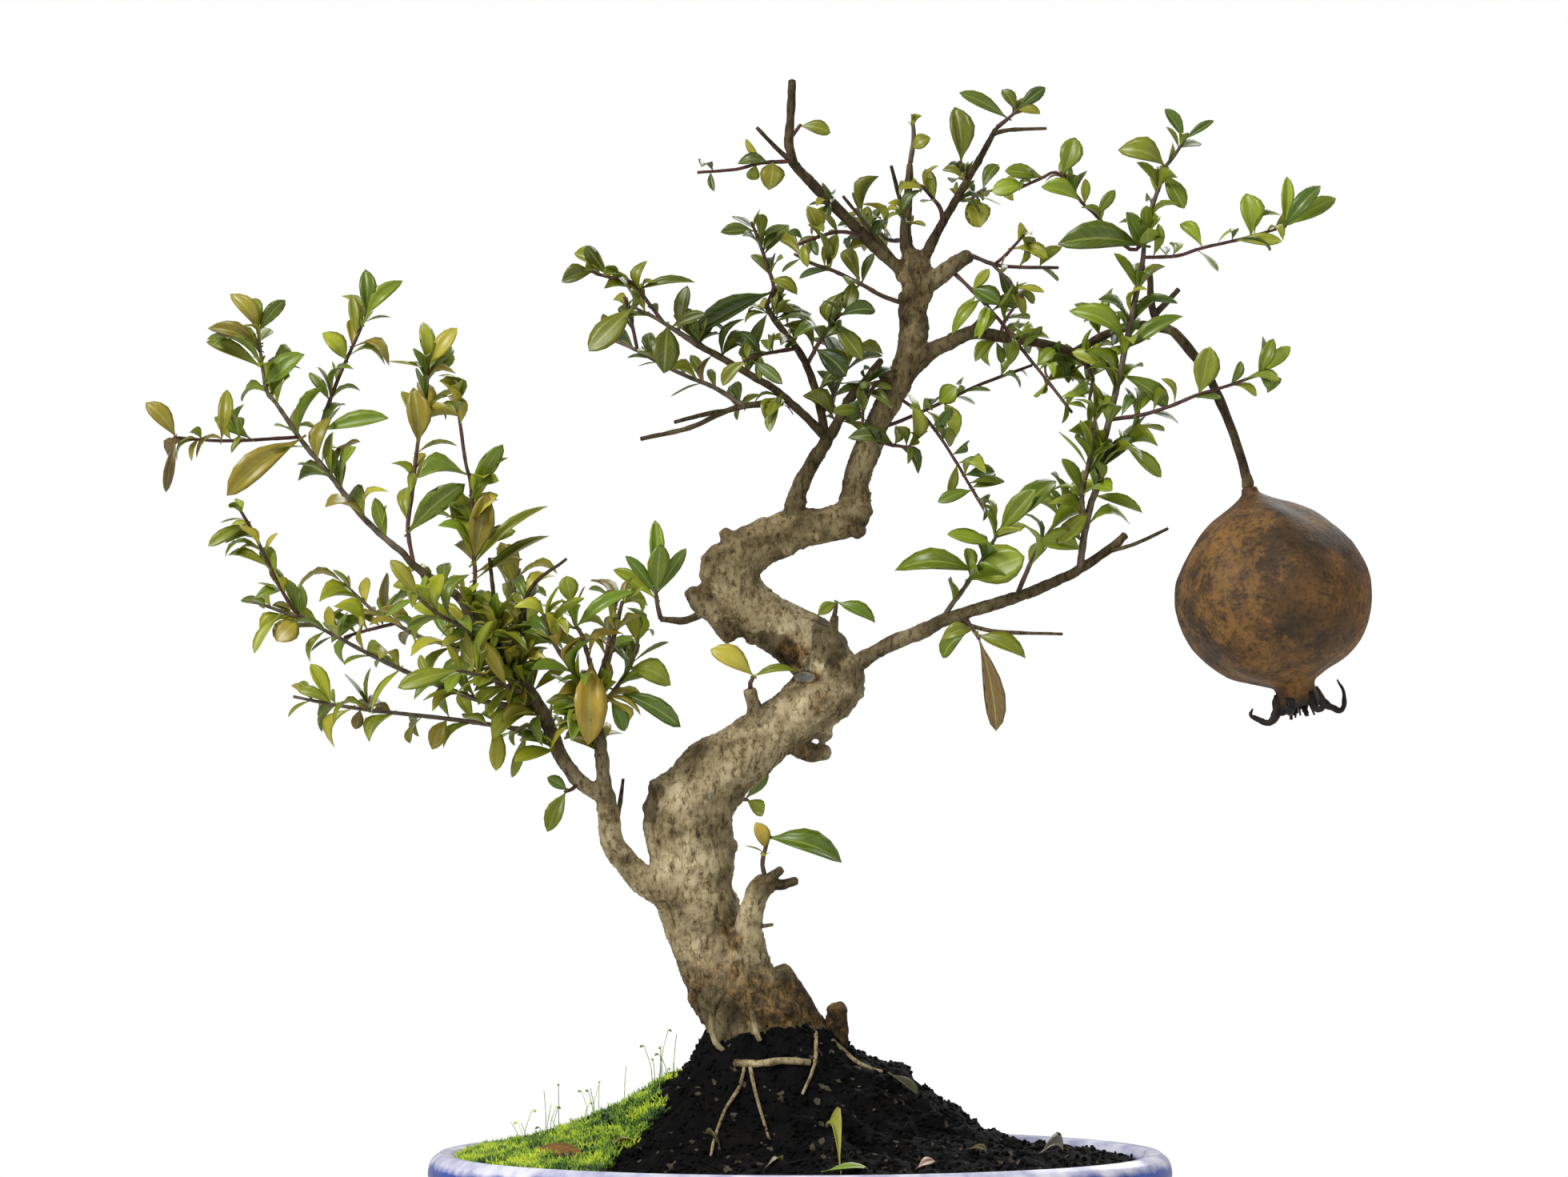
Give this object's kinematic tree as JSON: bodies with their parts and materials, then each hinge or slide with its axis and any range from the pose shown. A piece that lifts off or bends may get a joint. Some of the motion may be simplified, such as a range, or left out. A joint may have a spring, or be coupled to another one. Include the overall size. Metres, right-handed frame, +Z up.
{
  "type": "pomegranate bonsai",
  "caption": "Pomegranate bonsai with a twisted trunk, leafy shoots and one dried fruit, standing in an oval glazed pot.",
  "frame": {"origin": "centre of the object's bounding box at the level of the pot's feet", "axes": "+Z up, +X to the right as seen from the front, +Y away from the viewer"},
  "size_m": [0.3797, 0.18, 0.3996],
  "materials": {
    "cobalt_glaze": "glossy cobalt glaze on stoneware, pale lip",
    "black_plastic": "matte black plastic mesh",
    "dark_soil": "damp dark soil",
    "bark": "pale grey brown bark",
    "dry_rind": "dry leathery rind",
    "leaves": "semi gloss green leaf"
  },
  "bodies": {
    "root": {"pot": "cobalt_glaze", "drain_screen_left": "black_plastic", "drain_screen_right": "black_plastic", "soil": "dark_soil", "wood": "bark", "fruit": "dry_rind", "shoot_left_top": "leaves", "shoot_left_mid": "leaves", "shoot_left_inner": "leaves", "shoot_left_second": "leaves", "shoot_left_low": "leaves", "shoot_left_third": "leaves", "shoot_left_back": "leaves", "shoot_left_front": "leaves", "shoot_left_under": "leaves", "shoot_centre_orange": "leaves", "shoot_centre_right": "leaves", "shoot_centre_left": "leaves", "shoot_centre_back": "leaves", "shoot_fork_low": "leaves", "shoot_upright": "leaves", "shoot_second_trunk": "leaves", "shoot_trunk_back": "leaves", "shoot_stub_left": "leaves", "shoot_knuckle": "leaves", "shoot_right_first": "leaves", "shoot_droop_middle": "leaves", "shoot_right_second": "leaves", "shoot_right_hanging": "leaves", "shoot_column": "leaves", "shoot_column_top": "leaves", "shoot_crown_left": "leaves", "shoot_crown_stub": "leaves", "shoot_leader_top": "leaves", "shoot_crown_left_front": "leaves", "shoot_crown_left_low": "leaves", "shoot_crown_back": "leaves", "shoot_crown_front": "leaves", "shoot_crown_right_back": "leaves", "shoot_crown_right_up": "leaves", "shoot_crown_right_tip": "leaves", "shoot_crown_right_mid": "leaves", "shoot_inner_left": "leaves", "shoot_inner_top": "leaves", "shoot_inner_middle": "leaves", "shoot_inner_right": "leaves", "shoot_inner_dark": "leaves", "shoot_inner_back": "leaves", "shoot_right_thin": "leaves", "shoot_upper_front": "leaves", "shoot_upper_left": "leaves", "shoot_droop_right": "leaves", "shoot_middle_up": "leaves", "shoot_middle_end": "leaves"}
  },
  "joints": []
}
